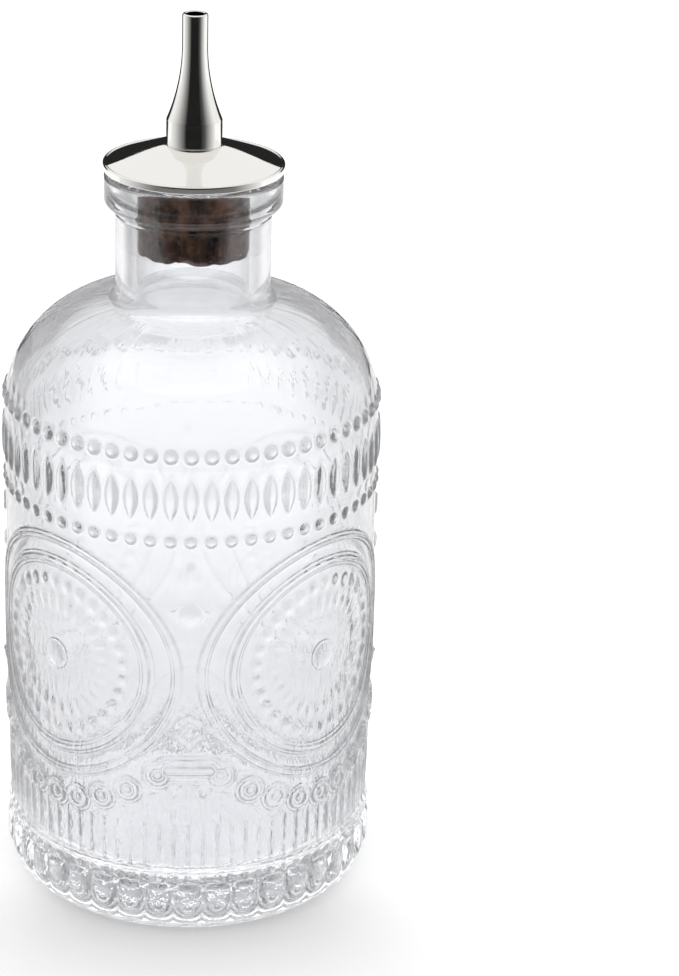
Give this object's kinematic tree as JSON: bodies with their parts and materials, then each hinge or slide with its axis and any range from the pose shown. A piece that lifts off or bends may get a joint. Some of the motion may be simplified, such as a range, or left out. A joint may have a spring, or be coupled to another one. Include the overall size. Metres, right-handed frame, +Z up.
{
  "type": "bitters bottle",
  "caption": "Pressed-glass bitters bottle with beaded, fluted and medallion relief, a cork stopper and a domed metal cap with a tapered dashing spout.",
  "frame": {"origin": "centre of the bottle's footprint, on the surface it stands on", "axes": "+Z up along the bottle's axis towards the spout; -Y is the front, midway between two medallions"},
  "size_m": [0.064, 0.064, 0.1498],
  "materials": {
    "glass": "clear pressed flint glass",
    "cork": "natural cork, unvarnished",
    "metal": "polished chrome plate",
    "stem_metal": "plain steel tube"
  },
  "bodies": {
    "bottle": {"glass_bottle": "glass"},
    "stopper": {"cork_stopper": "cork", "cap_disc": "metal", "dash_spout": "metal", "stem_tube": "stem_metal"}
  },
  "joints": [
    {"name": "stopper_lift", "type": "slide", "parent": "bottle", "child": "stopper", "axis": [0, 0, 1], "range_m": [0, 0.03]}
  ]
}
